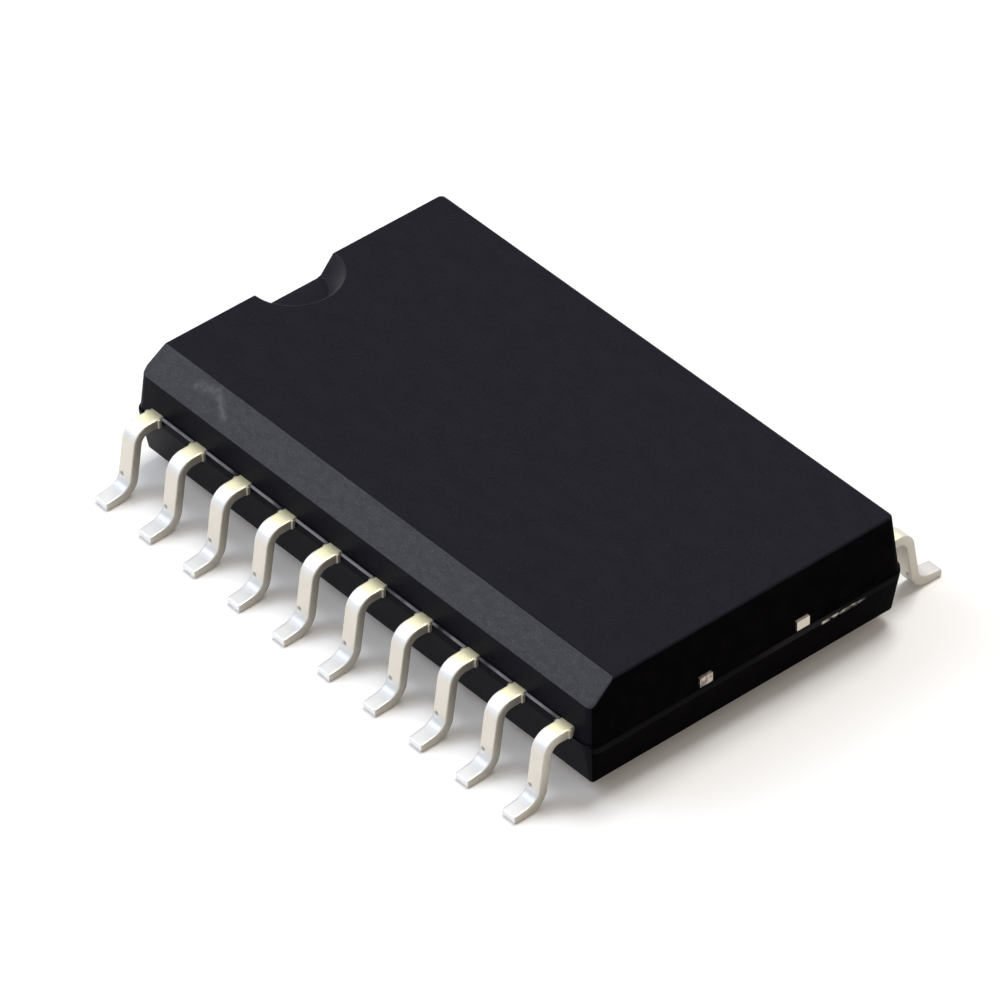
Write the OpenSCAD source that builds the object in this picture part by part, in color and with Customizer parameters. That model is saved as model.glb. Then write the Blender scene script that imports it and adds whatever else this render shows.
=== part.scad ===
// Wide small-outline chip package with two rows of gull-wing leads, in millimetres.
// +X runs along the lead rows and +Z is up. The origin is on the seating plane, under the middle of the body.
// Lead 1 is at the -X end of the -Y row, beside the notch. The count goes on round to the lead opposite it.

/* [Moulded body] */
// Distance from the last lead of a row to the end of the body
end_margin = 0.685; // [0.55:0.005:0.8]
// Width of the body at the parting plane
body_w = 7.5; // [7.3:0.05:7.7]
// Gap between the seating plane and the underside of the body
standoff = 0.28; // [0.1:0.01:0.3]
// Height of the lower half, from the underside to the parting plane
lower_h = 0.99; // [0.9:0.01:1.1]
// Height of the upper half, from the parting plane to the top face
upper_h = 1.2; // [1.1:0.01:1.3]
// Draft of the lower half's walls, in degrees
lower_draft = 10; // [5:1:12]
// Draft of the upper half's walls, in degrees
upper_draft = 6.5; // [5:0.5:10]
// Radius of the upright corners at the parting plane
corner_r = 0.25; // [0.24:0.01:0.4]
// Step at the parting plane, by which the lower half stands out
ledge = 0.04; // [0.02:0.01:0.12]

/* [Marks on the body] */
// Width of the bevel on the top face, along the lead 1 side
bevel_w = 0.53; // [0.25:0.01:0.75]
// Height of the bevel down the side wall
bevel_h = 0.43; // [0.25:0.01:0.6]
// Diameter of the half-moon notch at the top face
notch_d = 1.9; // [1.5:0.05:2.2]
// Depth of the notch
notch_depth = 0.44; // [0.3:0.01:0.55]
// Lean of the notch's wall from upright, in degrees
notch_lean = 35; // [10:1:45]
// Length of the gate's break-off on the ledge at the +X end
gate_l = 1.3; // [0.8:0.05:1.6]
// Height of the gate's break-off above the ledge
gate_h = 0.1; // [0.05:0.01:0.15]
// Distance from the middle of the end to the middle of the gate
gate_offset = 2.4; // [2.3:0.05:2.5]
// Diameter of the ejector marks in the underside
ejector_d = 1.2; // [0.8:0.05:1.5]
// Depth of the ejector marks
ejector_depth = 0.04; // [0.02:0.01:0.08]
// Distance between the two ejector marks
ejector_spacing = 7.2; // [5:0.1:9]

/* [Leads] */
// Distance between neighbouring leads
pitch = 1.27; // [1.2:0.01:1.35]
// Width of a lead
lead_w = 0.36; // [0.31:0.01:0.5]
// Thickness of the lead frame's metal
lead_t = 0.2; // [0.15:0.01:0.3]
// Length of the flat shoulder, from the body to the first bend
shoulder_l = 0.27; // [0.2:0.01:0.35]
// Inside radius of the bend at the shoulder
shoulder_r = 0.19; // [0.1:0.01:0.25]
// Inside radius of the bend at the heel
heel_r = 0.25; // [0.15:0.01:0.3]
// Lean of the leg from upright, in degrees
leg_lean = 9; // [4:1:20]
// Length of the flat sole of the foot
foot_l = 0.32; // [0.3:0.01:0.6]
// Length of the dam bar's stub along the shoulder
stub_l = 0.08; // [0.06:0.01:0.18]
// Width by which the stub stands out at each side of the lead
stub_w = 0.03; // [0.02:0.01:0.1]

/* [Lead fingers in the plastic] */
// Distance between neighbouring finger tips
tip_pitch = 0.85; // [0.7:0.01:0.95]
// Width of a finger tip
tip_w = 0.32; // [0.25:0.01:0.4]
// Length of the straight tip that takes the bond
tip_l = 0.3; // [0.25:0.01:0.4]
// Gap between the paddle and the finger tips, in plan
tip_gap = 0.25; // [0.15:0.01:0.4]
// Width by which the anchor ears stand out at each side of the lead
ear_w = 0.1; // [0.05:0.01:0.15]
// Length of the anchor ears
ear_l = 0.25; // [0.15:0.01:0.3]
// Plastic between the ears and the side of the body
ear_cover = 0.3; // [0.25:0.01:0.4]

/* [Die and paddle] */
// Length of the paddle
paddle_l = 5.4; // [4.5:0.1:6]
// Width of the paddle
paddle_w = 3; // [2.8:0.1:3.3]
// Distance by which the paddle is set below the leads
downset = 0.2; // [0.1:0.01:0.3]
// Width of a tie bar
tie_w = 0.3; // [0.2:0.01:0.4]
// Distance between the two tie bars of an end
tie_spacing = 2.3; // [2:0.05:2.4]
// Distance from the middle of the body to the middle of the tie bars, towards +Y
tie_shift = 0.1; // [0:0.01:0.15]
// Length of the tie bar that stays level with the paddle
tie_run = 0.3; // [0.1:0.05:0.6]
// Length of the die
die_l = 2; // [1.8:0.05:2.4]
// Width of the die
die_w = 1.6; // [1.3:0.05:1.8]
// Thickness of the die
die_t = 0.28; // [0.2:0.01:0.35]
// Thickness of the adhesive film
attach_t = 0.03; // [0.02:0.005:0.05]
// Width by which the adhesive shows round the die
attach_rim = 0.08; // [0.04:0.01:0.12]

/* [Bond wires] */
// Diameter of a wire
wire_d = 0.03; // [0.025:0.001:0.035]
// Diameter of the ball on the die
ball_d = 0.09; // [0.08:0.005:0.1]
// Height of the ball
ball_h = 0.04; // [0.036:0.001:0.05]
// Distance between neighbouring balls
pad_pitch = 0.17; // [0.14:0.005:0.18]
// Distance from the edge of the die to the middle of a ball
pad_inset = 0.1; // [0.08:0.005:0.15]
// Distance from the end of a finger tip to the middle of the stitch
stitch_inset = 0.13; // [0.1:0.01:0.16]
// Angle between a wire's end and the straight line to its other end
loop_angle = 32; // [25:1:38]

/* [Hidden] */
$fn = 48;
// Leads in each row, flats in each bend of a lead, and flats round a wire and its ball
per_side = 10;
bend_steps = 9;
wire_sides = 8;
row_l = (per_side - 1) * pitch;
body_l = row_l + 2 * end_margin;

// Heights above the seating plane
parting_z = standoff + lower_h;
frame_top_z = parting_z + lead_t;
top_z = parting_z + upper_h;
paddle_z = parting_z - downset;
attach_z = paddle_z + lead_t;
die_z = attach_z + attach_t;
die_top_z = die_z + die_t;

// Lean of a wall over a height, in whole steps, so that walls and corners meet in the same points
lean_step = 0.0001;
function lean(h, draft) = lean_step * round(h * tan(draft) / lean_step);

// The upper half's outline, at the parting plane and at the top face
upper_inset = lean(upper_h, upper_draft);
upper_l = body_l - 2 * ledge;
upper_w = body_w - 2 * ledge;
top_half_l = upper_l / 2 - upper_inset;
top_half_w = upper_w / 2 - upper_inset;

// How far cutting shapes run past the faces that they cut
over = 0.2;

// The formed part of a lead, in a plane with the distance outwards from the body's middle and the height.
// Both bends turn by the same angle, and the square direction is from a bend's centre to the leg.
bend_angle = 90 - leg_lean;
leg_square = [sin(bend_angle), cos(bend_angle)];
shoulder_end = body_w / 2 + shoulder_l;
shoulder_centre = [shoulder_end, parting_z - shoulder_r];
heel_z = lead_t + heel_r;
bend_reach = shoulder_r + lead_t + heel_r;
leg_drop = shoulder_centre[1] - heel_z + bend_reach * leg_square[1];
heel_centre = [
    shoulder_end + bend_reach * leg_square[0] + leg_drop * tan(leg_lean),
    heel_z
];

// The flat part of a lead, with distances outwards from the body's middle
tip_start = paddle_w / 2 + tip_gap;
tip_end = tip_start + tip_l;
ear_end = body_w / 2 - ear_cover;
ear_start = ear_end - ear_l;
stub_end = body_w / 2 + stub_l;

// Place of a lead in its row, counted from the middle of the row
function place(i) = (i - 1) % per_side - (per_side - 1) / 2;
function two_digits(i) = str(i < 10 ? "0" : "", i);
function lead_name(i) = str("lead_", two_digits(i));
function wire_name(i) = str("bond_wire_", two_digits(i));

all_leads = [1 : 2 * per_side];

// Turns a piece made for the -Y row to the row that its number is in
module in_row(i) {
    rotate([0, 0, i > per_side ? 180 : 0])
        children();
}

// One half of the body: walls that lean in by the draft, and upright corners that are parts of cones
module drafted_half(l, w, h, draft) {
    inset = lean(h, draft);
    rotate([90, 0, 0])
        linear_extrude(w - 2 * corner_r, center = true)
            polygon([[-l / 2, 0], [l / 2, 0], [l / 2 - inset, h], [inset - l / 2, h]]);
    rotate([90, 0, 90])
        linear_extrude(l - 2 * corner_r, center = true)
            polygon([[-w / 2, 0], [w / 2, 0], [w / 2 - inset, h], [inset - w / 2, h]]);
    for (x_side = [-1, 1], y_side = [-1, 1])
        translate([x_side * (l / 2 - corner_r), y_side * (w / 2 - corner_r), 0])
            rotate([0, 0, x_side > 0 ? 45 * (y_side - 1) : 90 + 45 * (1 - y_side)])
                rotate_extrude(angle = 90)
                    polygon([[0, 0], [corner_r, 0], [corner_r - inset, h], [0, h]]);
}

// The plastic before anything is cut from it
module moulding() {
    translate([0, 0, parting_z]) {
        drafted_half(upper_l, upper_w, upper_h, upper_draft);
        mirror([0, 0, 1])
            drafted_half(body_l, body_w, lower_h, lower_draft);
        // Resin between the leads, as high as the metal and flush with the ledge
        translate([-row_l / 2, -body_w / 2, 0])
            cube([row_l, body_w, lead_t]);
        // Break-off of the gate, standing on the ledge
        translate([top_half_l - over, gate_offset - gate_l / 2, 0])
            cube([body_l / 2 - top_half_l + over, gate_l, gate_h]);
    }
}

// Wedge above the sloping bevel
module bevel_cut() {
    top_edge = [bevel_w - top_half_w, top_z];
    wall_edge = [-top_half_w - lean(bevel_h, upper_draft), top_z - bevel_h];
    slope = wall_edge - top_edge;
    inner = top_edge - slope;
    outer = wall_edge + slope;
    rotate([90, 0, 90])
        linear_extrude(body_l, center = true)
            polygon([inner, outer, [outer[0], inner[1]]]);
}

// Cone whose axis stands on the end of the top face
module notch_cut() {
    floor_r = notch_d / 2 - notch_depth * tan(notch_lean);
    cut_h = notch_depth + over;
    translate([-top_half_l, 0, top_z - notch_depth])
        cylinder(r1 = floor_r, r2 = floor_r + cut_h * tan(notch_lean), h = cut_h);
}

module ejector_cuts() {
    for (side = [-1, 1])
        translate([side * ejector_spacing / 2, 0, standoff - over])
            cylinder(d = ejector_d, h = over + ejector_depth);
}

// The body, moulded round the pieces that it holds
module moulded_body() {
    color("#26252b")
        difference() {
            moulding();
            bevel_cut();
            notch_cut();
            ejector_cuts();
            for (i = all_leads)
                lead(i);
            die_paddle();
            die_attach();
            silicon_die();
            for (i = all_leads)
                bond_wire(i);
        }
}

// Points of an arc, with both ends
function arc(centre, r, from, to) = [
    for (k = [0 : bend_steps])
        let (a = from + (to - from) * k / bend_steps)
            centre + r * [cos(a), sin(a)]
];

// Section of the formed part of a lead: bend, leg, bend and foot
module formed_section() {
    shoulder_angle = 90 - bend_angle;
    heel_angle = 270 - bend_angle;
    tip = heel_centre[0] + foot_l;
    polygon(concat(
        arc(shoulder_centre, shoulder_r + lead_t, 90, shoulder_angle),
        arc(heel_centre, heel_r, heel_angle, 270),
        [[tip, lead_t], [tip, 0]],
        arc(heel_centre, heel_r + lead_t, 270, heel_angle),
        arc(shoulder_centre, shoulder_r, shoulder_angle, 90)
    ));
}

// Plan of the flat part of a lead, from the finger tip to the first bend.
// Each stop along it is the distance outwards, the place along the row and half the width.
function flat_stops(x_tip, x_lead) = [
    [tip_start, x_tip, tip_w / 2],
    [tip_end, x_tip, tip_w / 2],
    [ear_start, x_lead, lead_w / 2],
    [ear_start, x_lead, lead_w / 2 + ear_w],
    [ear_end, x_lead, lead_w / 2 + ear_w],
    [ear_end, x_lead, lead_w / 2],
    [body_w / 2, x_lead, lead_w / 2],
    [body_w / 2, x_lead, lead_w / 2 + stub_w],
    [stub_end, x_lead, lead_w / 2 + stub_w],
    [stub_end, x_lead, lead_w / 2],
    [shoulder_end, x_lead, lead_w / 2]
];

module flat_plan(i) {
    stops = flat_stops(place(i) * tip_pitch, place(i) * pitch);
    last = len(stops) - 1;
    polygon(concat(
        [for (s = stops) [s[1] + s[2], -s[0]]],
        [for (k = [last : -1 : 0]) [stops[k][1] - stops[k][2], -stops[k][0]]]
    ));
}

module lead(i) {
    color("#d8d3c6")
        in_row(i) {
            translate([0, 0, parting_z])
                linear_extrude(lead_t)
                    flat_plan(i);
            translate([place(i) * pitch, 0, 0])
                rotate([90, 0, -90])
                    linear_extrude(lead_w, center = true)
                        formed_section();
        }
}

// Side view of a tie bar, from inside the paddle out to the end of the body
module tie_side() {
    run_end = paddle_l / 2 + tie_run;
    rise_end = run_end + downset;
    under = [
        [0, paddle_z],
        [run_end, paddle_z],
        [rise_end, parting_z],
        [body_l / 2, parting_z]
    ];
    upper = [for (k = [len(under) - 1 : -1 : 0]) under[k] + [0, lead_t]];
    polygon(concat(under, upper));
}

module die_paddle() {
    color("#b87f4c") {
        translate([-paddle_l / 2, -paddle_w / 2, paddle_z])
            cube([paddle_l, paddle_w, lead_t]);
        for (end = [0, 1], side = [-1, 1])
            mirror([end, 0, 0])
                translate([0, tie_shift + side * tie_spacing / 2, 0])
                    rotate([90, 0, 0])
                        linear_extrude(tie_w, center = true)
                            tie_side();
    }
}

module die_attach() {
    film = [die_l + 2 * attach_rim, die_w + 2 * attach_rim, attach_t];
    color("#b9b9bd")
        translate([-film[0] / 2, -film[1] / 2, attach_z])
            cube(film);
}

module silicon_die() {
    color("#59606e")
        translate([-die_l / 2, -die_w / 2, die_z])
            cube([die_l, die_w, die_t]);
}

// A ball on the die and a round loop that ends flat on the finger tip
module bond_wire(i) {
    pad = [place(i) * pad_pitch, pad_inset - die_w / 2];
    stitch = [place(i) * tip_pitch, -tip_start - stitch_inset];
    plan = stitch - pad;
    // The loop in its own upright plane, with distances from the ball and heights above the die
    loop_start = [0, ball_h / 2];
    loop_end = [norm(plan), frame_top_z - die_top_z];
    chord = loop_end - loop_start;
    slope = atan2(chord[1], chord[0]);
    loop_r = norm(chord) / (2 * sin(loop_angle));
    middle = (loop_start + loop_end) / 2;
    centre = middle - loop_r * cos(loop_angle) * [-sin(slope), cos(slope)];
    spare_angle = 3 * wire_d / loop_r * 180 / PI;
    first_angle = 90 + slope - loop_angle - spare_angle;
    color("#d4a43a")
        in_row(i)
            translate([pad[0], pad[1], die_top_z])
                rotate([0, 0, atan2(plan[1], plan[0])]) {
                    cylinder(d = ball_d, h = ball_h, $fn = wire_sides);
                    difference() {
                        rotate([90, 0, 0])
                            translate(centre)
                                rotate([0, 0, first_angle])
                                    rotate_extrude(angle = 2 * loop_angle + spare_angle)
                                        translate([loop_r, 0])
                                            circle(d = wire_d, $fn = wire_sides);
                        translate([loop_end[0] - over, -over, loop_end[1] - over])
                            cube([2 * over, 2 * over, over]);
                    }
                }
}

moulded_body();
for (i = all_leads)
    lead(i);
die_paddle();
die_attach();
silicon_die();
for (i = all_leads)
    bond_wire(i);
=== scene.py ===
import math

import bmesh
import bpy
from mathutils import Matrix, Vector, noise


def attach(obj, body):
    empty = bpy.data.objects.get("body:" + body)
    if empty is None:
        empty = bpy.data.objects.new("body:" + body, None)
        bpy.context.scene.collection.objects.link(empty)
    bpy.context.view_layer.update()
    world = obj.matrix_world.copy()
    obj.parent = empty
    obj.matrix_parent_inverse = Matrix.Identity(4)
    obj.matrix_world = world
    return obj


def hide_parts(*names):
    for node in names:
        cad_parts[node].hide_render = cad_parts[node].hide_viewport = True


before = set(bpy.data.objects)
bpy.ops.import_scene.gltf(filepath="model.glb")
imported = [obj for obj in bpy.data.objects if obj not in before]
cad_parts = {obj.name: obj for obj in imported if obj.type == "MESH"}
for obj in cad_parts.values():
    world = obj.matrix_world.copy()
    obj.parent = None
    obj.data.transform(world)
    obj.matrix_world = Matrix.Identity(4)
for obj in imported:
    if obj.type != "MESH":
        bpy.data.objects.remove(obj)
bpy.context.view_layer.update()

MM = 0.001

# Sizes of the part in millimetres and angles in degrees, the same as in its source
HALF_L, HALF_W = 6.4, 3.75
STANDOFF, PARTING_Z, TOP_Z = 0.28, 1.27, 2.47
LOWER_DRAFT, UPPER_DRAFT = 10, 6.5
CORNER_R, LEDGE = 0.25, 0.04
BEVEL_W, BEVEL_H = 0.53, 0.43
NOTCH_R, NOTCH_DEPTH, NOTCH_LEAN = 0.95, 0.44, 35
GATE_Y, GATE_L, GATE_H = 2.4, 1.3, 0.1
EJECTOR_X, EJECTOR_R, EJECTOR_DEPTH = 3.6, 0.6, 0.04
PITCH, PER_SIDE = 1.27, 10
LEAD_W, LEAD_T = 0.36, 0.2
SHOULDER, SHOULDER_R, HEEL_R, LEG_LEAN, FOOT = 0.27, 0.19, 0.25, 9, 0.32
STUB_L, STUB_W = 0.08, 0.03
TIP_PITCH, TIP_W, TIP_START, TIP_L = 0.85, 0.32, 1.75, 0.3
EAR_W, EAR_L, EAR_COVER = 0.1, 0.25, 0.3
FRAME_TOP = PARTING_Z + LEAD_T

# Small roundings that the moulds and the stamping leave
TOP_EDGE, BOTTOM_EDGE, BEVEL_EDGE, NOTCH_EDGE = 0.05, 0.05, 0.06, 0.06
RIM_W, RIM_H = 0.06, 0.15
STRIP_EDGE, LEAD_EDGE = 0.03, 0.03
# Slope that pressing leaves on the foot's upper face, from a little before the heel's end
FOOT_SLOPE, SLOPE_LEAD_IN = 7, 0.1
# Punch mark low on each leg
MARK_Z, MARK_X, MARK_R, MARK_DEPTH, MARK_ROUND = 0.42, -0.085, 0.058, 0.035, 0.7
# Scrape on the bevel, which turns down towards its lower edge, and its width from point to point
SCRAPE = [(-5.02, -3.265, 2.302), (-4.58, -3.16, 2.38), (-4.34, -3.28, 2.29), (-4.08, -3.44, 2.17)]
SCRAPE_WIDTHS = [0.16, 0.14, 0.12]


def tan(degrees):
    return math.tan(math.radians(degrees))


def sin(degrees):
    return math.sin(math.radians(degrees))


def cos(degrees):
    return math.cos(math.radians(degrees))


def clamped(value):
    return min(1, max(0, value))


def interpolate(x, xs, ys):
    """The value at x of the line through the points, level beyond its ends."""
    if x <= xs[0]:
        return ys[0]
    for k in range(1, len(xs)):
        if x <= xs[k]:
            t = (x - xs[k - 1]) / (xs[k] - xs[k - 1])
            return ys[k - 1] + t * (ys[k] - ys[k - 1])
    return ys[-1]


def filleted(points, radius, steps=6):
    """An open line in a plane, with each inner corner rounded."""
    line = [Vector(points[0])]
    for before, at, after in zip(points, points[1:], points[2:]):
        at = Vector(at)
        one, two = (Vector(before) - at).normalized(), (Vector(after) - at).normalized()
        half = one.angle(two) / 2
        middle = at + (one + two).normalized() * radius / math.sin(half)
        start, end = at + one * radius / math.tan(half), at + two * radius / math.tan(half)
        for k in range(steps + 1):
            arm = (start - middle).lerp(end - middle, k / steps).normalized()
            line.append(middle + arm * radius)
    return line + [Vector(points[-1])]


def skin(bm, rows):
    """Faces between neighbouring rows of points, each row a closed loop."""
    count = len(rows[0])
    for near, far in zip(rows, rows[1:]):
        for k in range(count):
            after = (k + 1) % count
            bm.faces.new((near[k], near[after], far[after], far[k]))


MERGE, DEGENERATE = 1e-5, 1e-6
FACES_DOWN = -0.999


def finish_mesh(bm, name, materials, sharp=40):
    """A named object from a mesh in millimetres."""
    bmesh.ops.remove_doubles(bm, verts=bm.verts, dist=MERGE)
    bmesh.ops.dissolve_degenerate(bm, edges=bm.edges, dist=DEGENERATE)
    bmesh.ops.recalc_face_normals(bm, faces=bm.faces)
    bmesh.ops.transform(bm, matrix=Matrix.Scale(MM, 4), verts=bm.verts)
    mesh = bpy.data.meshes.new(name)
    bm.to_mesh(mesh)
    bm.free()
    mesh.set_sharp_from_angle(angle=math.radians(sharp))
    # The underside is flat but has thin triangles, on which smooth shading would leave streaks
    for p in mesh.polygons:
        p.use_smooth = p.normal.z > FACES_DOWN
    for m in materials:
        mesh.materials.append(m)
    obj = bpy.data.objects.new(name, mesh)
    bpy.context.scene.collection.objects.link(obj)
    weighted = obj.modifiers.new("flat faces stay flat", "WEIGHTED_NORMAL")
    weighted.keep_sharp = True
    return obj


# Materials


class Nodes:
    """Short calls for the nodes of one material or of the world. Lengths are in millimetres."""

    def __init__(self, tree, place="Object"):
        self.tree = tree
        self.place = self.add("ShaderNodeTexCoord").outputs[place]

    def add(self, kind, **settings):
        node = self.tree.nodes.new(kind)
        for key, value in settings.items():
            setattr(node, key, value)
        return node

    def link(self, value, socket):
        if isinstance(value, bpy.types.NodeSocket):
            self.tree.links.new(value, socket)
        else:
            socket.default_value = value

    def math(self, operation, *values, clamp=False):
        node = self.add("ShaderNodeMath", operation=operation, use_clamp=clamp)
        for value, socket in zip(values, node.inputs):
            self.link(value, socket)
        return node.outputs[0]

    def vector(self, operation, *values, output=0):
        node = self.add("ShaderNodeVectorMath", operation=operation)
        for value, socket in zip(values, node.inputs):
            self.link(value, socket)
        return node.outputs[output]

    def product(self, first, *others):
        for value in others:
            first = self.math("MULTIPLY", first, value)
        return first

    def line(self, start, slope, value):
        """The start plus the slope times the value."""
        return self.math("ADD", start, self.math("MULTIPLY", value, slope))

    def axes(self):
        node = self.add("ShaderNodeSeparateXYZ")
        self.link(self.place, node.inputs[0])
        return node.outputs

    def noise(self, size, detail=2.0, stretch=(1, 1, 1)):
        """Noise with grains of about this size, longer along an axis by its stretch."""
        spread = [1 / (size * MM * s) for s in stretch]
        node = self.add("ShaderNodeTexNoise")
        self.link(self.vector("MULTIPLY", self.place, spread), node.inputs["Vector"])
        node.inputs["Scale"].default_value = 1
        node.inputs["Detail"].default_value = detail
        return node.outputs[0]

    def between(self, value, low, high):
        """0 at low and before it, 1 at high and past it, smooth between them. These are plain numbers."""
        node = self.add("ShaderNodeMapRange", interpolation_type="SMOOTHSTEP")
        self.link(value, node.inputs["Value"])
        node.inputs["From Min"].default_value = low
        node.inputs["From Max"].default_value = high
        return node.outputs[0]

    def rise(self, value, low, high):
        """The same for a length."""
        return self.between(value, low * MM, high * MM)

    def band(self, value, low, high, soft):
        """1 from low to high, 0 beyond, over a soft edge."""
        return self.product(self.rise(value, low - soft, low), self.rise(value, high + soft, high))

    def near_line(self, a, b, width):
        """1 on the straight line from a to b, 0 beyond its width."""
        a, b = Vector(a) * MM, Vector(b) * MM
        along = b - a
        from_a = self.vector("SUBTRACT", self.place, tuple(a))
        share = self.vector("DOT_PRODUCT", from_a, tuple(along), output=1)
        share = self.math("DIVIDE", share, along.length_squared, clamp=True)
        foot = self.add("ShaderNodeVectorMath", operation="SCALE")
        foot.inputs[0].default_value = along
        self.link(share, foot.inputs["Scale"])
        gap = self.vector("DISTANCE", from_a, foot.outputs[0], output=1)
        return self.rise(gap, width, 0)

    def mix(self, share, one, two):
        """From the first colour to the second by the share."""
        node = self.add("ShaderNodeMix", data_type="RGBA")
        self.link(share, node.inputs["Factor"])
        for value, socket in zip((one, two), [s for s in node.inputs if s.type == "RGBA"]):
            self.link(value if isinstance(value, bpy.types.NodeSocket) else (*value, 1), socket)
        return [s for s in node.outputs if s.type == "RGBA"][0]

    def lay(self, colour, tone, mask, strength=1):
        """The colour with a tone laid over it where the mask is."""
        if strength < 1:
            mask = self.math("MULTIPLY", mask, strength)
        return self.mix(mask, colour, tone)

    def bump(self, height, depth):
        node = self.add("ShaderNodeBump")
        node.inputs["Strength"].default_value = 1
        node.inputs["Distance"].default_value = depth * MM
        self.link(height, node.inputs["Height"])
        return node.outputs[0]

    def seen(self):
        """1 for rays that show a surface, straight or in a reflection, and 0 for those that it lights."""
        rays = self.add("ShaderNodeLightPath").outputs
        mirrored = self.math("MAXIMUM", rays["Is Glossy Ray"], rays["Is Transmission Ray"])
        return self.math("MAXIMUM", rays["Is Camera Ray"], mirrored)


def new_material(name):
    mat = bpy.data.materials.new(name)
    mat.use_nodes = True
    return mat, Nodes(mat.node_tree), mat.node_tree.nodes["Principled BSDF"]


# Noise lies mostly between these values
COMMON_NOISE = 0.3, 0.7

EPOXY_SCRAPED = (0.105, 0.103, 0.113)
# Pale band along the ends' parting line: flash, and a painted highlight on the rounded rim
EPOXY_FLASH_AND_HIGHLIGHT, EPOXY_HEAVY_FLASH_AND_HIGHLIGHT = (0.0105, 0.0101, 0.011), (0.026, 0.0245, 0.025)
EPOXY_TORN = (0.6, 0.56, 0.5)
# Painted highlight along the top edge of the resin between the leads
EPOXY_STRIP_HIGHLIGHT = (0.26, 0.26, 0.275)
FLASH_AND_HIGHLIGHT_HEIGHTS, HEAVY_FLASH_AND_HIGHLIGHT = (PARTING_Z - 0.19, PARTING_Z - 0.07), (0.8, 1.7)
TORN_HEIGHTS, TORN_THINS = (PARTING_Z - 0.21, PARTING_Z - 0.16), (2.85, 2.4)
END_FACE, TORN_FACE = (6.3, 6.35), (6.3, 6.34)
STRIP_HEIGHTS, STRIP_FACE, STRIP_ENDS = (FRAME_TOP - 0.03, FRAME_TOP + 0.01), (3.715, 3.76), (5.75, 5.6)


def epoxy(name, dark, light, specular, roughness, grain, mottle_size=0.35):
    """Black moulding compound: fine grain of its filler, faint mottling, pale where it broke or scraped."""
    mat, n, shader = new_material(name)
    x, y, z = n.axes()
    along, across = n.math("ABSOLUTE", x), n.math("ABSOLUTE", y)
    mottle = n.noise(mottle_size, 3, stretch=(1.6, 1, 1))
    colour = n.mix(n.between(mottle, *COMMON_NOISE), dark, light)
    filler = n.between(n.noise(0.03, 1), 0.6, 0.72)
    colour = n.lay(colour, [4 * c for c in light], filler, 0.3)
    # Scrape on the bevel
    scrape = n.near_line(*SCRAPE[:2], SCRAPE_WIDTHS[0])
    for a, b, width in zip(SCRAPE[1:], SCRAPE[2:], SCRAPE_WIDTHS[1:]):
        scrape = n.math("MAXIMUM", scrape, n.near_line(a, b, width))
    scrape = n.product(scrape, n.between(n.noise(0.1, 3), 0.2, 0.75))
    colour = n.lay(colour, EPOXY_SCRAPED, scrape, 0.75)
    # Thin pale band along the parting line of the ends, heavier next to the gate: flash, and a painted
    # highlight on the rounded rim
    heavy = n.product(n.band(y, *HEAVY_FLASH_AND_HIGHLIGHT, 0.9), n.rise(x, *END_FACE))
    flash_and_highlight = n.product(n.band(z, *FLASH_AND_HIGHLIGHT_HEIGHTS, 0.03), n.rise(along, *END_FACE))
    colour = n.lay(colour, n.mix(heavy, EPOXY_FLASH_AND_HIGHLIGHT, EPOXY_HEAVY_FLASH_AND_HIGHLIGHT), flash_and_highlight, 0.7)
    # Torn resin where the gate was broken off, which thins out towards the corner
    torn = n.product(
        n.band(y, GATE_Y - GATE_L / 2, GATE_Y + GATE_L / 2, 0.05),
        n.band(z, *TORN_HEIGHTS, 0.03),
        n.rise(x, *TORN_FACE),
        n.rise(y, *TORN_THINS),
        n.between(n.noise(0.07, 2, stretch=(1, 3, 1)), 0.43, 0.62),
    )
    colour = n.lay(colour, EPOXY_TORN, torn)
    # Painted highlight along the rounded top edge of the resin between the leads
    edge = n.product(
        n.band(z, *STRIP_HEIGHTS, 0.01),
        n.band(across, *STRIP_FACE, 0.01),
        n.rise(along, *STRIP_ENDS),
        n.between(n.noise(0.5, 1), 0.2, 0.55),
    )
    colour = n.lay(colour, EPOXY_STRIP_HIGHLIGHT, edge)
    n.link(colour, shader.inputs["Base Color"])
    n.link(n.line(roughness - 0.06, 0.12, mottle), shader.inputs["Roughness"])
    shader.inputs["Specular IOR Level"].default_value = specular
    n.link(n.bump(n.noise(0.035, 2), grain), shader.inputs["Normal"])
    return mat


TIN, TIN_LIGHT, TIN_BRUSHED = (0.7, 0.695, 0.68), (0.77, 0.765, 0.75), (0.7, 0.67, 0.6)
# These include a painted highlight for the cut ends, and painted shade for the sheared sides and the punch
# mark's bottom
TIN_SHOULDER_YELLOW, TIN_FEET_DARKER, TIN_TIP_HIGHLIGHT = (0.85, 0.805, 0.54), (0.58, 0.58, 0.585), (0.84, 0.835, 0.83)
TIN_LEG_BEIGE, TIN_SHEARED_AND_SHADED, TIN_MARK_SHADE = (0.75, 0.695, 0.605), (0.44, 0.41, 0.35), (0.2, 0.19, 0.16)
BARE_COPPER = (0.72, 0.42, 0.26)


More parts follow.
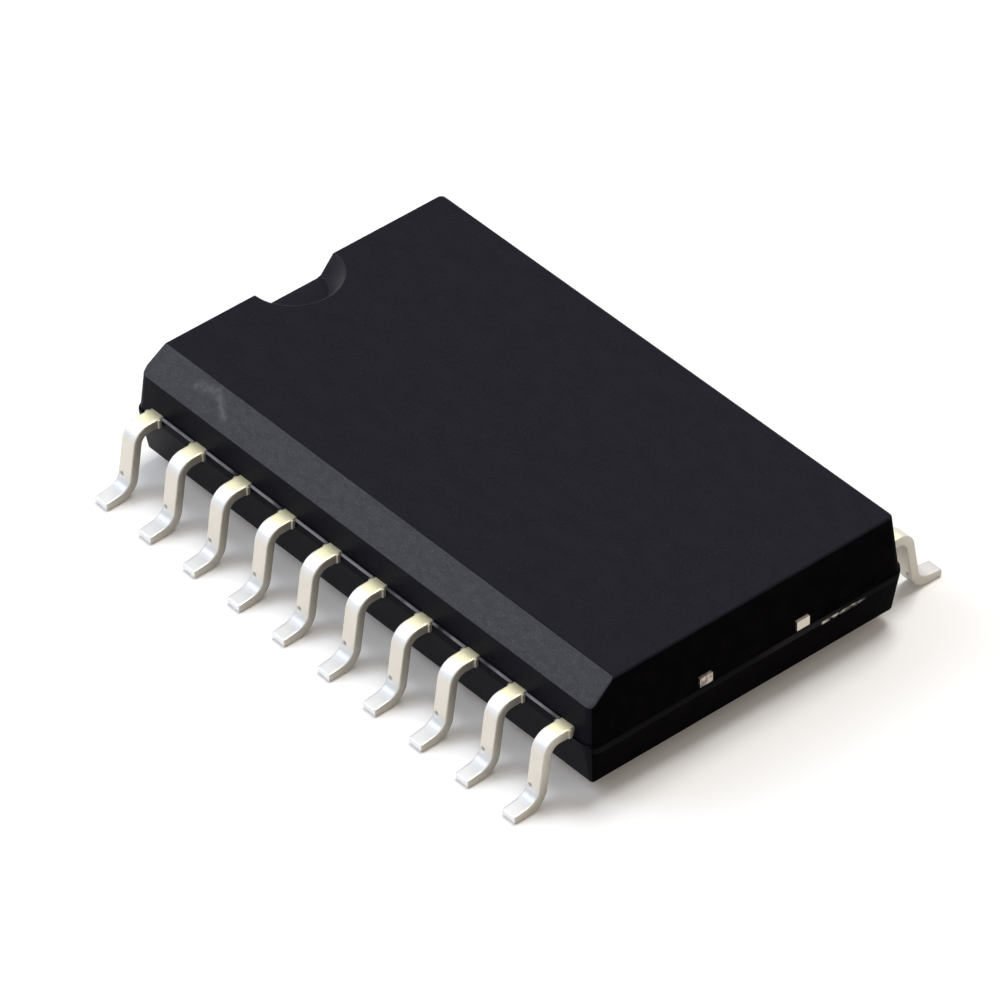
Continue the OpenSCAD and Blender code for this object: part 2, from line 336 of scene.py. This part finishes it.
def tin(name):
    """Tin plate on the leads, faintly brushed along them, and bare copper where the resin holds them."""
    mat, n, shader = new_material(name)
    x, y, z = n.axes()
    across = n.math("ABSOLUTE", y)
    brushed = n.noise(0.02, 2, stretch=(1, 25, 25))
    colour = n.mix(n.between(n.noise(0.3, 2), *COMMON_NOISE), TIN, TIN_LIGHT)
    colour = n.lay(colour, TIN_BRUSHED, n.between(brushed, 0.4, 0.8), 0.25)
    colour = n.lay(colour, BARE_COPPER, n.rise(across, 3.66, 3.6))
    # Shoulders a lighter yellow next to the resin
    shoulder = n.product(n.rise(z, FRAME_TOP - 0.16, FRAME_TOP - 0.02), n.rise(across, 4.24, 3.94))
    colour = n.lay(colour, TIN_SHOULDER_YELLOW, shoulder, 0.9)
    # Feet a little darker than the bends, and a painted highlight on the cut ends
    colour = n.lay(colour, TIN_FEET_DARKER, n.rise(z, 0.42, 0.25), 0.85)
    colour = n.lay(colour, TIN_TIP_HIGHLIGHT, n.rise(across, 5.07, 5.085))
    # Legs a more beige tone
    leg = n.product(n.band(z, 0.5, 1.15, 0.15), n.rise(across, 4.1, 4.3))
    colour = n.lay(colour, TIN_LEG_BEIGE, leg, 0.8)
    # Darker sides: partly the metal that the stamping sheared, partly painted shade
    half_pitch = PITCH / 2 * MM
    off = n.math("WRAP", n.math("ADD", x, half_pitch), half_pitch, -half_pitch)
    sheared_and_shaded = n.rise(n.math("ABSOLUTE", off), LEAD_W / 2 - 0.025, LEAD_W / 2 - 0.005)
    colour = n.lay(colour, TIN_SHEARED_AND_SHADED, n.product(sheared_and_shaded, n.line(0.6, 0.5, brushed)))
    # Painted shade in the bottom of the punch mark
    beside = n.math("SUBTRACT", n.product(off, n.math("SIGN", y)), -MARK_X * MM)
    above = n.math("SUBTRACT", z, MARK_Z * MM)
    away = n.math("SQRT", n.math("ADD", n.product(beside, beside), n.product(above, above)))
    mark_shade = n.product(n.rise(away, MARK_R, MARK_R * 0.4), n.rise(across, 4.25, 4.3))
    colour = n.lay(colour, TIN_MARK_SHADE, mark_shade, 0.7)
    n.link(colour, shader.inputs["Base Color"])
    shader.inputs["Metallic"].default_value = 0.8
    n.link(n.line(0.4, 0.16, brushed), shader.inputs["Roughness"])
    n.link(n.bump(brushed, 0.001), shader.inputs["Normal"])
    return mat


def gold_wire():
    """Gold of the bond wires, with a drawn grain."""
    mat, n, shader = new_material("bond_gold")
    grain = n.noise(0.01, 3, stretch=(8, 1, 1))
    colour = n.mix(n.between(grain, *COMMON_NOISE), (0.86, 0.62, 0.24), (0.95, 0.74, 0.36))
    n.link(colour, shader.inputs["Base Color"])
    shader.inputs["Metallic"].default_value = 1
    n.link(n.line(0.15, 0.15, grain), shader.inputs["Roughness"])
    n.link(n.bump(grain, 0.001), shader.inputs["Normal"])
    return mat


def paddle_metal():
    """Copper alloy of the paddle. The cut ends of the tie bars are tinned like the leads."""
    mat, n, shader = new_material("paddle_copper")
    x, y, _ = n.axes()
    grain = n.noise(0.05, 3, stretch=(8, 1, 1))
    colour = n.mix(n.between(grain, *COMMON_NOISE), (0.66, 0.36, 0.22), (0.76, 0.45, 0.29))
    colour = n.lay(colour, (0.62, 0.56, 0.48), n.rise(n.math("ABSOLUTE", x), 6.2, 6.3))
    # The near one of the two ends that the photo shows is painted dark in patches: painted shade
    near_end_shade = n.product(n.rise(x, 6.2, 6.3), n.rise(y, 0.1, -0.1), n.between(n.noise(0.12, 2), 0.25, 0.6))
    colour = n.lay(colour, (0.2, 0.16, 0.15), near_end_shade)
    n.link(colour, shader.inputs["Base Color"])
    shader.inputs["Metallic"].default_value = 1
    n.link(n.line(0.3, 0.2, grain), shader.inputs["Roughness"])
    n.link(n.bump(grain, 0.001), shader.inputs["Normal"])
    return mat


def silicon():
    """Bare silicon with the faint coloured blocks and the fine lines of its circuit."""
    mat, n, shader = new_material("silicon")
    block = 0.16
    blocks = n.add("ShaderNodeTexVoronoi", feature="F1", distance="CHEBYCHEV")
    n.link(n.vector("MULTIPLY", n.place, (1 / (block * MM),) * 3), blocks.inputs["Vector"])
    blocks.inputs["Scale"].default_value = 1
    tone = n.add("ShaderNodeSeparateColor")
    n.link(blocks.outputs["Color"], tone.inputs[0])
    lines = n.noise(0.012, 1, stretch=(6, 1, 1))
    colour = n.mix(tone.outputs[0], (0.10, 0.11, 0.15), (0.22, 0.19, 0.24))
    colour = n.lay(colour, (0.36, 0.35, 0.33), n.between(lines, 0.5, 0.6), 0.5)
    n.link(colour, shader.inputs["Base Color"])
    shader.inputs["Metallic"].default_value = 0.6
    n.link(n.line(0.12, 0.15, lines), shader.inputs["Roughness"])
    return mat


def adhesive():
    """Silver-filled adhesive: pale grey paste with bright flakes."""
    mat, n, shader = new_material("attach_film")
    flakes = n.noise(0.015, 2)
    colour = n.mix(n.between(flakes, 0.4, 0.65), (0.34, 0.34, 0.35), (0.66, 0.66, 0.67))
    n.link(colour, shader.inputs["Base Color"])
    shader.inputs["Metallic"].default_value = 0.5
    n.link(n.line(0.4, 0.3, flakes), shader.inputs["Roughness"])
    n.link(n.bump(flakes, 0.004), shader.inputs["Normal"])
    return mat


# The moulded body, as rings of points from the underside to the top


def lower_size(z):
    """Half length, half width and corner radius of the lower half at this height."""
    inset = (PARTING_Z - z) * tan(LOWER_DRAFT)
    return HALF_L - inset, HALF_W - inset, CORNER_R - inset


def upper_size(z):
    """The same for the upper half, which stands back by the ledge."""
    inset = (z - PARTING_Z) * tan(UPPER_DRAFT)
    return HALF_L - LEDGE - inset, HALF_W - LEDGE - inset, CORNER_R - inset


TOP_HALF_L, TOP_HALF_W, _ = upper_size(TOP_Z)
NOTCH_Z = TOP_Z - NOTCH_DEPTH
FLOOR_R = NOTCH_R - NOTCH_DEPTH * tan(NOTCH_LEAN)
BEVEL_LOW = (upper_size(TOP_Z - BEVEL_H)[1], TOP_Z - BEVEL_H)
BEVEL_TOP = (TOP_HALF_W - BEVEL_W, TOP_Z)
# Section of the -Y side up to the flat top: distance from the middle, and height
SIDE_LINE = filleted([(HALF_W - LEDGE, PARTING_Z), BEVEL_LOW, BEVEL_TOP, (0, TOP_Z)], BEVEL_EDGE)[:-1]
# Stretches of resin between neighbouring leads
GAPS = [((k - (PER_SIDE - 1) / 2) * PITCH + LEAD_W / 2, (k - (PER_SIDE - 3) / 2) * PITCH - LEAD_W / 2)
        for k in range(PER_SIDE - 1)]
# Places across the +X end, close together at the gate
END_STOPS = [-2.2, -1.1, 0, 1.1] + [GATE_Y - 0.75 + 0.03 * k for k in range(51)]
# Heights of the rings on the gate's stump, on the plain walls and on the notch's wall
GATE_LEVELS = [PARTING_Z + 0.015 + 0.02 * k for k in range(7)]
WALL_LEVELS = [FRAME_TOP, 1.7, 1.95, NOTCH_Z - 0.03]
NOTCH_LEVELS = [2.08, 2.14, 2.2, 2.26, 2.32, 2.38]
# Rounded front edge of the notch's floor: depth under the floor, and how far it stands back there
NOTCH_LIP = [(0.016, 0.004), (0.006, 0.013), (0, 0.03)]
LIP_INSET, LIP_FADE = 0.34, 0.03
# How softly the notch's wall runs into the end, and how far from the notch that reaches
NOTCH_BLEND, NOTCH_REACH = 0.03, 0.25
SMALLEST_CORNER = 0.05
# An ejector pin's mark from its rim to its bottom: radius and height
EJECTOR_LINE = [(EJECTOR_R + 0.01, STANDOFF), (EJECTOR_R, STANDOFF + 0.008),
                (EJECTOR_R - 0.005, STANDOFF + EJECTOR_DEPTH - 0.01),
                (EJECTOR_R - 0.02, STANDOFF + EJECTOR_DEPTH)]
# Steps of a corner, of a small rounding and of an ejector pin's mark
CORNER_STEPS, EDGE_STEPS, PIN_STEPS = 8, 4, 48


def long_side(wall, strip):
    """Points of the -Y side towards +X: the wall, with the resin between the leads standing out of it."""
    points = []
    edge = STRIP_EDGE / 2 if strip > wall else 0
    for start, end in GAPS:
        for x, y in ((start, wall), (start, strip - edge), (start + STRIP_EDGE / 2, strip),
                     (end - STRIP_EDGE / 2, strip), (end, strip - edge), (end, wall)):
            points.append((x, -max(y, wall)))
    return points


def corner(x, y, r, start):
    """Points of a rounded corner, whose outer corner is at x, y."""
    cx, cy = x - math.copysign(r, x), y - math.copysign(r, y)
    turns = [start + 90 * k / CORNER_STEPS for k in range(CORNER_STEPS + 1)]
    return [(cx + r * cos(a), cy + r * sin(a)) for a in turns]


def broken(y, z):
    """How far the gate's torn stump stands out, from 0 to 1."""
    across = clamped((GATE_L / 2 - abs(y - GATE_Y)) / 0.06)
    height = GATE_H * (1 + 0.5 * noise.noise(Vector((y * 5, 0, 3))))
    rise = clamped((PARTING_Z + height - z) / 0.05)
    coarse = noise.noise(Vector((y * 11, z * 22, 0)))
    fine = noise.noise(Vector((y * 30, z * 40, 7)))
    return across * rise * clamped(0.62 + 0.5 * coarse + 0.3 * fine)


def notch_stops(half_l, notch_r):
    """Places across the -X end, close together where the notch's edge meets it."""
    meet = math.sqrt((notch_r or FLOOR_R) ** 2 - (half_l - TOP_HALF_L) ** 2)
    far, near = 1.5, 0.08
    outside, at_edge, inside = 6, 16, 30
    half = [far + (meet + near - far) * k / outside for k in range(outside)]
    half += [meet + near - 2 * near * k / at_edge for k in range(at_edge)]
    half += [(meet - near) * (1 - k / inside) for k in range(inside)]
    return half + [0] + [-y for y in reversed(half)]


def dented(wall, y, notch_r, lip):
    """Place of the -X end at y, where the notch has this radius."""
    if lip:
        wall += lip * clamped((NOTCH_R - LIP_INSET - abs(y)) / LIP_FADE)
    if not notch_r or abs(y) > notch_r + NOTCH_REACH:
        return wall
    square = notch_r ** 2 - y ** 2
    bowl = -TOP_HALF_L + math.copysign(math.sqrt(abs(square)), square)
    return (wall + bowl + math.sqrt((wall - bowl) ** 2 + NOTCH_BLEND ** 2)) / 2


def ring(z, half_l, wall, far_wall, r, far_r, strip=0, gate=False, notch_r=0, lip=0):
    """One level of the body: wall is the -Y side and far_wall the +Y side."""
    points = long_side(wall, strip)
    points += corner(half_l, -wall, r, -90)
    for y in END_STOPS:
        out = broken(y, z) * (HALF_L - half_l) if gate else 0
        points.append((half_l + out, y))
    points += corner(half_l, far_wall, far_r, 0)
    points += [(-x, -y) for x, y in long_side(far_wall, strip)]
    points += corner(-half_l, far_wall, far_r, 90)
    points += [(dented(-half_l, y, notch_r, lip), y) for y in notch_stops(half_l, notch_r)]
    points += corner(-half_l, -wall, r, 180)
    return [(x, y, z) for x, y in points]


def lower_rings():
    """The lower half, and the resin between the leads."""
    rings = []
    # Underside and its rounded edge
    for k in range(EDGE_STEPS + 1):
        turn = 90 * k / EDGE_STEPS
        z = STANDOFF + BOTTOM_EDGE * (1 - cos(turn))
        inset = BOTTOM_EDGE * (1 - sin(turn))
        half_l, wall, r = lower_size(z)
        rings.append(ring(z, half_l - inset, wall - inset, wall - inset, r - inset, r - inset))
    # Rim: rounded off at the ends, upright along the leads
    last, steps = math.degrees(math.acos(1 - LEDGE / RIM_W)), 5
    for k in range(steps + 1):
        turn = last * k / steps
        z = PARTING_Z - RIM_H * (1 - sin(turn))
        half_l, wall, r = lower_size(z)
        rings.append(ring(z, half_l - RIM_W * (1 - cos(turn)), wall, wall, r, r))
    # Resin between the leads with its rounded edge, and the stump of the gate
    for level in [z] + GATE_LEVELS:
        half_l, wall, r = upper_size(level)
        rings.append(ring(level, half_l, wall, wall, r, r, strip=HALF_W, gate=True))
    for k in range(EDGE_STEPS + 1):
        turn = 90 * k / EDGE_STEPS
        z = FRAME_TOP - STRIP_EDGE * (1 - sin(turn))
        half_l, wall, r = upper_size(z)
        rings.append(ring(z, half_l, wall, wall, r, r, strip=HALF_W - STRIP_EDGE * (1 - cos(turn))))
    return rings


def upper_levels():
    """Heights of the upper half's rings, each with the notch's radius and the set-back of its lip."""
    levels = [(z, 0, 0) for z in WALL_LEVELS]
    levels += [(NOTCH_Z - drop, 0, lip) for drop, lip in NOTCH_LIP]
    # Rounding between the notch's floor and its wall
    bend, steps = 90 - NOTCH_LEAN, 5
    for k in range(steps + 1):
        turn = bend * k / steps
        notch_r = FLOOR_R + NOTCH_EDGE * (sin(turn) - tan(bend / 2))
        levels.append((NOTCH_Z + NOTCH_EDGE * (1 - cos(turn)), notch_r, 0))
    for z in NOTCH_LEVELS:
        levels.append((z, FLOOR_R + (z - NOTCH_Z) * tan(NOTCH_LEAN), 0))
    # Rounded edge of the top
    steps = 6
    for k in range(steps + 1):
        turn = 90 * k / steps
        z = TOP_Z - TOP_EDGE * (1 - sin(turn))
        wall_r = FLOOR_R + (z - NOTCH_Z) * tan(NOTCH_LEAN)
        levels.append((z, wall_r + TOP_EDGE * 0.5 * (1 - cos(turn)), 0))
    return levels


def upper_rings():
    """The upper walls, with the bevel, the notch and the rounded edge of the top."""
    rings = []
    for z, notch_r, lip in upper_levels():
        half_l, far_wall, far_r = upper_size(z)
        rise = max(0, (z - TOP_Z + TOP_EDGE) / TOP_EDGE)
        inset = TOP_EDGE * (1 - math.sqrt(max(0, 1 - rise ** 2)))
        wall = interpolate(z, [p[1] for p in SIDE_LINE], [p[0] for p in SIDE_LINE])
        r = max(SMALLEST_CORNER, far_r - (far_wall - wall)) - 0.8 * inset
        wall = min(wall, far_wall - inset) if z > TOP_Z - BEVEL_H else far_wall
        rings.append(ring(z, half_l - inset, wall, far_wall - inset, r, far_r - inset,
                          notch_r=notch_r, lip=lip))
    return rings


# Lit and shaded copies of the epoxy, in the order of the body's materials: one compound with its specular and
# roughness set per face, and its colour painted lighter on the bevel and the notch and darker on the sides
# and the ends
TOP, BEVEL, SIDE, END, NOTCH = range(5)


def painted_light_of(face):
    """Which lit or shaded copy of the epoxy this face gets, by where it lies and which way it faces."""
    at, normal = face.calc_center_median(), face.normal
    in_notch = at.z > NOTCH_Z - 0.01 and at.x < -TOP_HALF_L + NOTCH_R + 0.05 and abs(at.y) < NOTCH_R + 0.1
    if in_notch and 0.2 < normal.z < 0.95:
        return NOTCH
    if at.z > FRAME_TOP and normal.z > 0.45:
        return BEVEL if normal.y < -0.5 else TOP
    return END if normal.x > abs(normal.y) else SIDE


def moulded_body(lit_and_shaded_epoxies):
    bm = bmesh.new()
    rows = [[bm.verts.new(p) for p in points] for points in lower_rings() + upper_rings()]
    skin(bm, rows)
    bm.faces.new(rows[-1])
    # Shallow marks of the two ejector pins in the underside
    turns = [360 * k / PIN_STEPS for k in range(PIN_STEPS)]
    for side in (-1, 1):
        loops = [[bm.verts.new((side * EJECTOR_X + r * cos(a), r * sin(a), z)) for a in turns]
                 for r, z in EJECTOR_LINE]
        skin(bm, loops)
        bm.faces.new(loops[-1])
    # The underside between its edge and these marks
    bmesh.ops.remove_doubles(bm, verts=bm.verts, dist=MERGE)
    bmesh.ops.triangle_fill(bm, use_beauty=True, edges=[e for e in bm.edges if e.is_boundary])
    bmesh.ops.recalc_face_normals(bm, faces=bm.faces)
    for f in bm.faces:
        f.material_index = painted_light_of(f)
    return finish_mesh(bm, "epoxy_body", lit_and_shaded_epoxies, sharp=35)


# The leads, as a rounded section led along its formed path

# Rounding of a stamped corner, seen from above, and of the foot's cut end: from its tip, off each side
STAMP_STEP = 0.012
CUT_END = [(0.009, 0.006), (0, 0.02)]
TOE_LENGTH = FOOT - 0.03
BEND_STEPS, LEG_STEPS, TOE_STEPS = 16, 24, 5


def lead_stations(index):
    """Stops along the middle of a lead, and where its heel ends. A stop is the distance outwards, the height,
    the direction of the upper face, the place along the row and half the width."""
    place = index % PER_SIDE - (PER_SIDE - 1) / 2
    x_tip, x_lead = place * TIP_PITCH, place * PITCH
    half, step = LEAD_W / 2, STAMP_STEP
    body = HALF_W
    ear_end = body - EAR_COVER
    ear_start = ear_end - EAR_L
    stub_end = body + STUB_L
    shoulder_end = body + SHOULDER
    level = PARTING_Z + LEAD_T / 2
    flat = [(TIP_START, x_tip, TIP_W / 2 - step), (TIP_START + step, x_tip, TIP_W / 2),
            (TIP_START + TIP_L, x_tip, TIP_W / 2), (ear_start, x_lead, half),
            (ear_start + step, x_lead, half + EAR_W), (ear_end - step, x_lead, half + EAR_W),
            (ear_end, x_lead, half), (body, x_lead, half), (body + step, x_lead, half + STUB_W),
            (stub_end - step, x_lead, half + STUB_W), (stub_end, x_lead, half), (shoulder_end, x_lead, half)]
    stations = [(d, level, 90, x, w) for d, x, w in flat]
    # Radii of the two bends at the middle of the metal, and the heights of their centres
    turn = 90 - LEG_LEAN
    outer, inner = SHOULDER_R + LEAD_T / 2, HEEL_R + LEAD_T / 2
    upper_z, lower_z = PARTING_Z - SHOULDER_R, LEAD_T + HEEL_R
    drop = upper_z - lower_z + (outer + inner) * cos(turn)
    heel = shoulder_end + (outer + inner) * sin(turn) + drop * tan(LEG_LEAN)
    for k in range(1, BEND_STEPS + 1):
        a = 90 - turn * k / BEND_STEPS
        stations.append((shoulder_end + outer * cos(a), upper_z + outer * sin(a), a, x_lead, half))
    top_d, top_z = stations[-1][:2]
    end_d, end_z = heel - inner * cos(LEG_LEAN), lower_z - inner * sin(LEG_LEAN)
    for k in range(1, LEG_STEPS):
        t = k / LEG_STEPS
        stations.append((top_d + t * (end_d - top_d), top_z + t * (end_z - top_z), LEG_LEAN, x_lead, half))
    for k in range(BEND_STEPS + 1):
        a = LEG_LEAN + turn * k / BEND_STEPS
        stations.append((heel - inner * cos(a), lower_z - inner * sin(a), a, x_lead, half))
    for k in range(1, TOE_STEPS + 1):
        stations.append((heel + TOE_LENGTH * k / TOE_STEPS, LEAD_T / 2, 90, x_lead, half))
    for back, inset in CUT_END:
        stations.append((heel + FOOT - back, LEAD_T / 2, 90, x_lead, half - inset))
    return stations, heel


def rounded_section(half_w, top, under, r, steps=3, across=14):
    """Points of a rounded rectangle: across the lead, and up and down from the middle of its thickness."""
    points = []
    for sx, y, start in ((1, r - under, -90), (1, top - r, 0), (-1, top - r, 90), (-1, r - under, 180)):
        for k in range(steps + 1):
            a = start + 90 * k / steps
            points.append((sx * (half_w - r) + r * cos(a), y + r * sin(a)))
        # The upper face has points for the punch mark
        if start == 0:
            span = half_w - r
            points += [(span - 2 * span * k / across, top) for k in range(1, across)]
    return points


def tinned_lead(index, material):
    bm = bmesh.new()
    stations, heel = lead_stations(index)
    last = len(stations) - 1
    insets = {0: STAMP_STEP, last - 1: CUT_END[0][1], last: CUT_END[1][1]}
    leg_start, steepest_mark = HALF_W + SHOULDER + SHOULDER_R, 60
    rows = []
    for k, (d, z, a, x, half_w) in enumerate(stations):
        under = LEAD_T / 2 - insets.get(k, 0)
        top = under - max(0, d - heel + SLOPE_LEAD_IN) * tan(FOOT_SLOPE)
        row = []
        for u, v in rounded_section(half_w, top, under, LEAD_EDGE):
            out, up = d + v * cos(a), z + v * sin(a)
            if v > top - 1e-6 and LEG_LEAN <= a < steepest_mark and d > leg_start:
                gap = math.hypot(u - MARK_X, up - MARK_Z) / MARK_R
                out -= MARK_DEPTH * max(0, 1 - gap ** 2) ** MARK_ROUND
            row.append(bm.verts.new((x + u, -out, up)))
        rows.append(row)
    skin(bm, rows)
    bm.faces.new(rows[0])
    bm.faces.new(rows[-1])
    if index >= PER_SIDE:
        bmesh.ops.rotate(bm, verts=bm.verts, cent=(0, 0, 0), matrix=Matrix.Rotation(math.pi, 3, "Z"))
    return finish_mesh(bm, f"tinned_lead_{index + 1:02d}", [material])


# The pieces

body = moulded_body([
    # One epoxy, five times: its colour painted light on the bevel and the notch, and painted shade on the
    # sides and the ends
    epoxy("epoxy_top", (0.0062, 0.0058, 0.0102), (0.0082, 0.0077, 0.0134), 0.05, 0.5, 0.004),
    epoxy("epoxy_bevel_painted_light", (0.016, 0.0158, 0.0205), (0.029, 0.0285, 0.0345), 0.26, 0.5, 0.006, 0.12),
    epoxy("epoxy_side_painted_shade", (0.0045, 0.0038, 0.0065), (0.0062, 0.0055, 0.0088), 0.03, 0.4, 0.003),
    epoxy("epoxy_end_painted_shade", (0.0018, 0.0015, 0.002), (0.003, 0.0024, 0.0031), 0.003, 0.45, 0.003),
    epoxy("epoxy_notch_painted_light", (0.0085, 0.008, 0.0125), (0.015, 0.0145, 0.02), 0.1, 0.5, 0.004, 0.2),
])
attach(body, "root")
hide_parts("moulded_body")

tin_plate = tin("tin_plate")
for i in range(2 * PER_SIDE):
    lead = tinned_lead(i, tin_plate)
    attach(lead, "root")
    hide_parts(f"lead_{i + 1:02d}")

# The pieces inside keep their CAD shapes
gold = gold_wire()
inner = {"die_paddle": paddle_metal(), "die_attach": adhesive(), "silicon_die": silicon()}
for name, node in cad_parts.items():
    mat = gold if name.startswith("bond_wire") else inner.get(name)
    if mat:
        node.data.materials.clear()
        node.data.materials.append(mat)

# Floor, lights and camera, in metres and watts

FLOOR_HALF, FLOOR_DROP = 1, 0.00001
FLOOR_TONE, FLOOR_LIFT, FLOOR_LIFT_TONE = (0.94, 0.94, 0.94, 1), 0.09, (1, 0.88, 0.78, 1)
SKY_AXIS, SKY_COOL, SKY_WARM = (0.8, 0.6, 0), (0.94, 0.98, 1.04), (1.05, 0.93, 0.76)
SKY_FILL, SKY_FILL_DROP, SKY_SEEN = 0.56, 0.3, 0.95

floor_mesh = bpy.data.meshes.new("floor")
floor_mesh.from_pydata([(FLOOR_HALF * x, FLOOR_HALF * y, 0) for x, y in ((-1, -1), (1, -1), (1, 1), (-1, 1))],
                       [], [(0, 1, 2, 3)])
floor = bpy.data.objects.new("floor", floor_mesh)
floor.location.z = -FLOOR_DROP
bpy.context.scene.collection.objects.link(floor)
# The paper looks white by its colour and a little glow, which lights nothing
floor_mat, n, shader = new_material("floor_paper")
shader.inputs["Base Color"].default_value = FLOOR_TONE
shader.inputs["Roughness"].default_value = 0.9
shader.inputs["Specular IOR Level"].default_value = 0
shader.inputs["Emission Color"].default_value = FLOOR_LIFT_TONE
n.link(n.math("MULTIPLY", n.seen(), FLOOR_LIFT), shader.inputs["Emission Strength"])
floor_mesh.materials.append(floor_mat)

# Sky: cool and fuller on one side, warm and weaker on the other, and white where it is seen
world = bpy.data.worlds.new("studio")
bpy.context.scene.world = world
world.use_nodes = True
n = Nodes(world.node_tree, "Generated")
sky = world.node_tree.nodes["Background"]
turned = n.between(n.vector("DOT_PRODUCT", n.place, SKY_AXIS, output=1), -0.5, 0.5)
n.link(n.mix(turned, SKY_COOL, SKY_WARM), sky.inputs["Color"])
fill = n.math("SUBTRACT", SKY_FILL, n.math("MULTIPLY", turned, SKY_FILL_DROP))
n.link(n.math("MAXIMUM", fill, n.math("MULTIPLY", n.seen(), SKY_SEEN)), sky.inputs["Strength"])


def softbox(name, direction, distance, size, power, colour):
    """A square lamp in this direction, facing the part."""
    lamp = bpy.data.lights.new(name, "AREA")
    lamp.shape = "SQUARE"
    lamp.size = size
    lamp.energy = power
    lamp.color = colour
    obj = bpy.data.objects.new(name, lamp)
    towards = Vector(direction).normalized()
    obj.location = towards * distance
    obj.rotation_mode = "QUATERNION"
    obj.rotation_quaternion = towards.to_track_quat("Z", "Y")
    bpy.context.scene.collection.objects.link(obj)


softbox("overhead", (-0.1, 0.3, 0.95), distance=0.3, size=0.12, power=0.58, colour=(1.0, 0.99, 0.98))
softbox("left", (-0.59, -0.47, 0.66), distance=0.3, size=0.16, power=0.25, colour=(0.87, 0.96, 1.1))

# The photo's camera, fitted to it: angles in degrees, distance in millimetres, focal length in sensor widths
AZIMUTH, ELEVATION, ROLL = 50.1031, 39.8797, -1.0727
DISTANCE, FOCAL, SENSOR = 166.7359, 9.2289041, 36
TARGET = Vector((0.0766, -0.4275, 1.2)) * MM
back = Vector((sin(AZIMUTH) * cos(ELEVATION), -cos(AZIMUTH) * cos(ELEVATION), sin(ELEVATION)))
right = Vector((cos(AZIMUTH), sin(AZIMUTH), 0))
up = back.cross(right)
right, up = cos(ROLL) * right + sin(ROLL) * up, cos(ROLL) * up - sin(ROLL) * right
camera_data = bpy.data.cameras.new("camera")
camera_data.sensor_width = SENSOR
camera_data.lens = SENSOR * FOCAL
camera_data.clip_start, camera_data.clip_end = 0.01, 10
camera = bpy.data.objects.new("camera", camera_data)
turn = Matrix((right, up, back)).transposed().to_4x4()
camera.matrix_world = Matrix.Translation(TARGET + back * DISTANCE * MM) @ turn
bpy.context.scene.collection.objects.link(camera)
bpy.context.scene.camera = camera

bpy.context.scene.view_settings.view_transform = "Standard"
